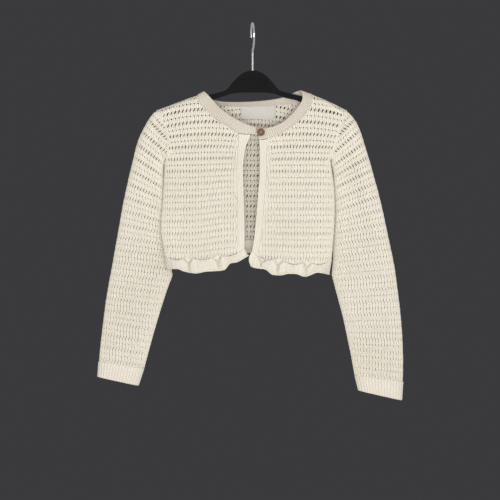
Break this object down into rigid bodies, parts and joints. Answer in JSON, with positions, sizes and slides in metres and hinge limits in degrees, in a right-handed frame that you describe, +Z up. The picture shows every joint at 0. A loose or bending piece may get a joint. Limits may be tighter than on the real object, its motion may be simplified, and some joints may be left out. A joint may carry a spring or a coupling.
{
  "type": "cardigan on a hanger",
  "caption": "Child's short cream crochet-look cardigan with long ribbed sleeves, a ruffled hem and one button at the neck, hanging open on a black plastic hanger with a wire hook.",
  "frame": {"origin": "the middle of the wire at the crown of the hanger's hook, where a rail would carry it", "axes": "+Z up; the garment's open front faces -Y and +X runs to the right as seen from the front"},
  "size_m": [0.4897, 0.0614, 0.6043],
  "materials": {
    "cream_knit": "matte openwork cotton knit",
    "cream_rib": "matte ribbed cotton knit",
    "cream_frill": "matte fine plain knit",
    "label_cloth": "smooth woven satin",
    "brown_button": "satin",
    "black_plastic": "smooth, slightly glossy",
    "hook_wire": "bright plated"
  },
  "bodies": {
    "root": {"back": "cream_knit", "front_left": "cream_knit", "front_right": "cream_knit", "sleeve_left": "cream_knit", "sleeve_right": "cream_knit", "forearm_left": "cream_knit", "forearm_right": "cream_knit", "cuff_left": "cream_rib", "cuff_right": "cream_rib", "neckband": "cream_rib", "front_band_left": "cream_rib", "front_band_right": "cream_rib", "hem_back": "cream_frill", "hem_front_left": "cream_frill", "hem_front_right": "cream_frill", "button": "brown_button", "button_loop": "cream_rib", "neck_label": "label_cloth", "hanger": "black_plastic", "hook": "hook_wire"}
  },
  "joints": []
}
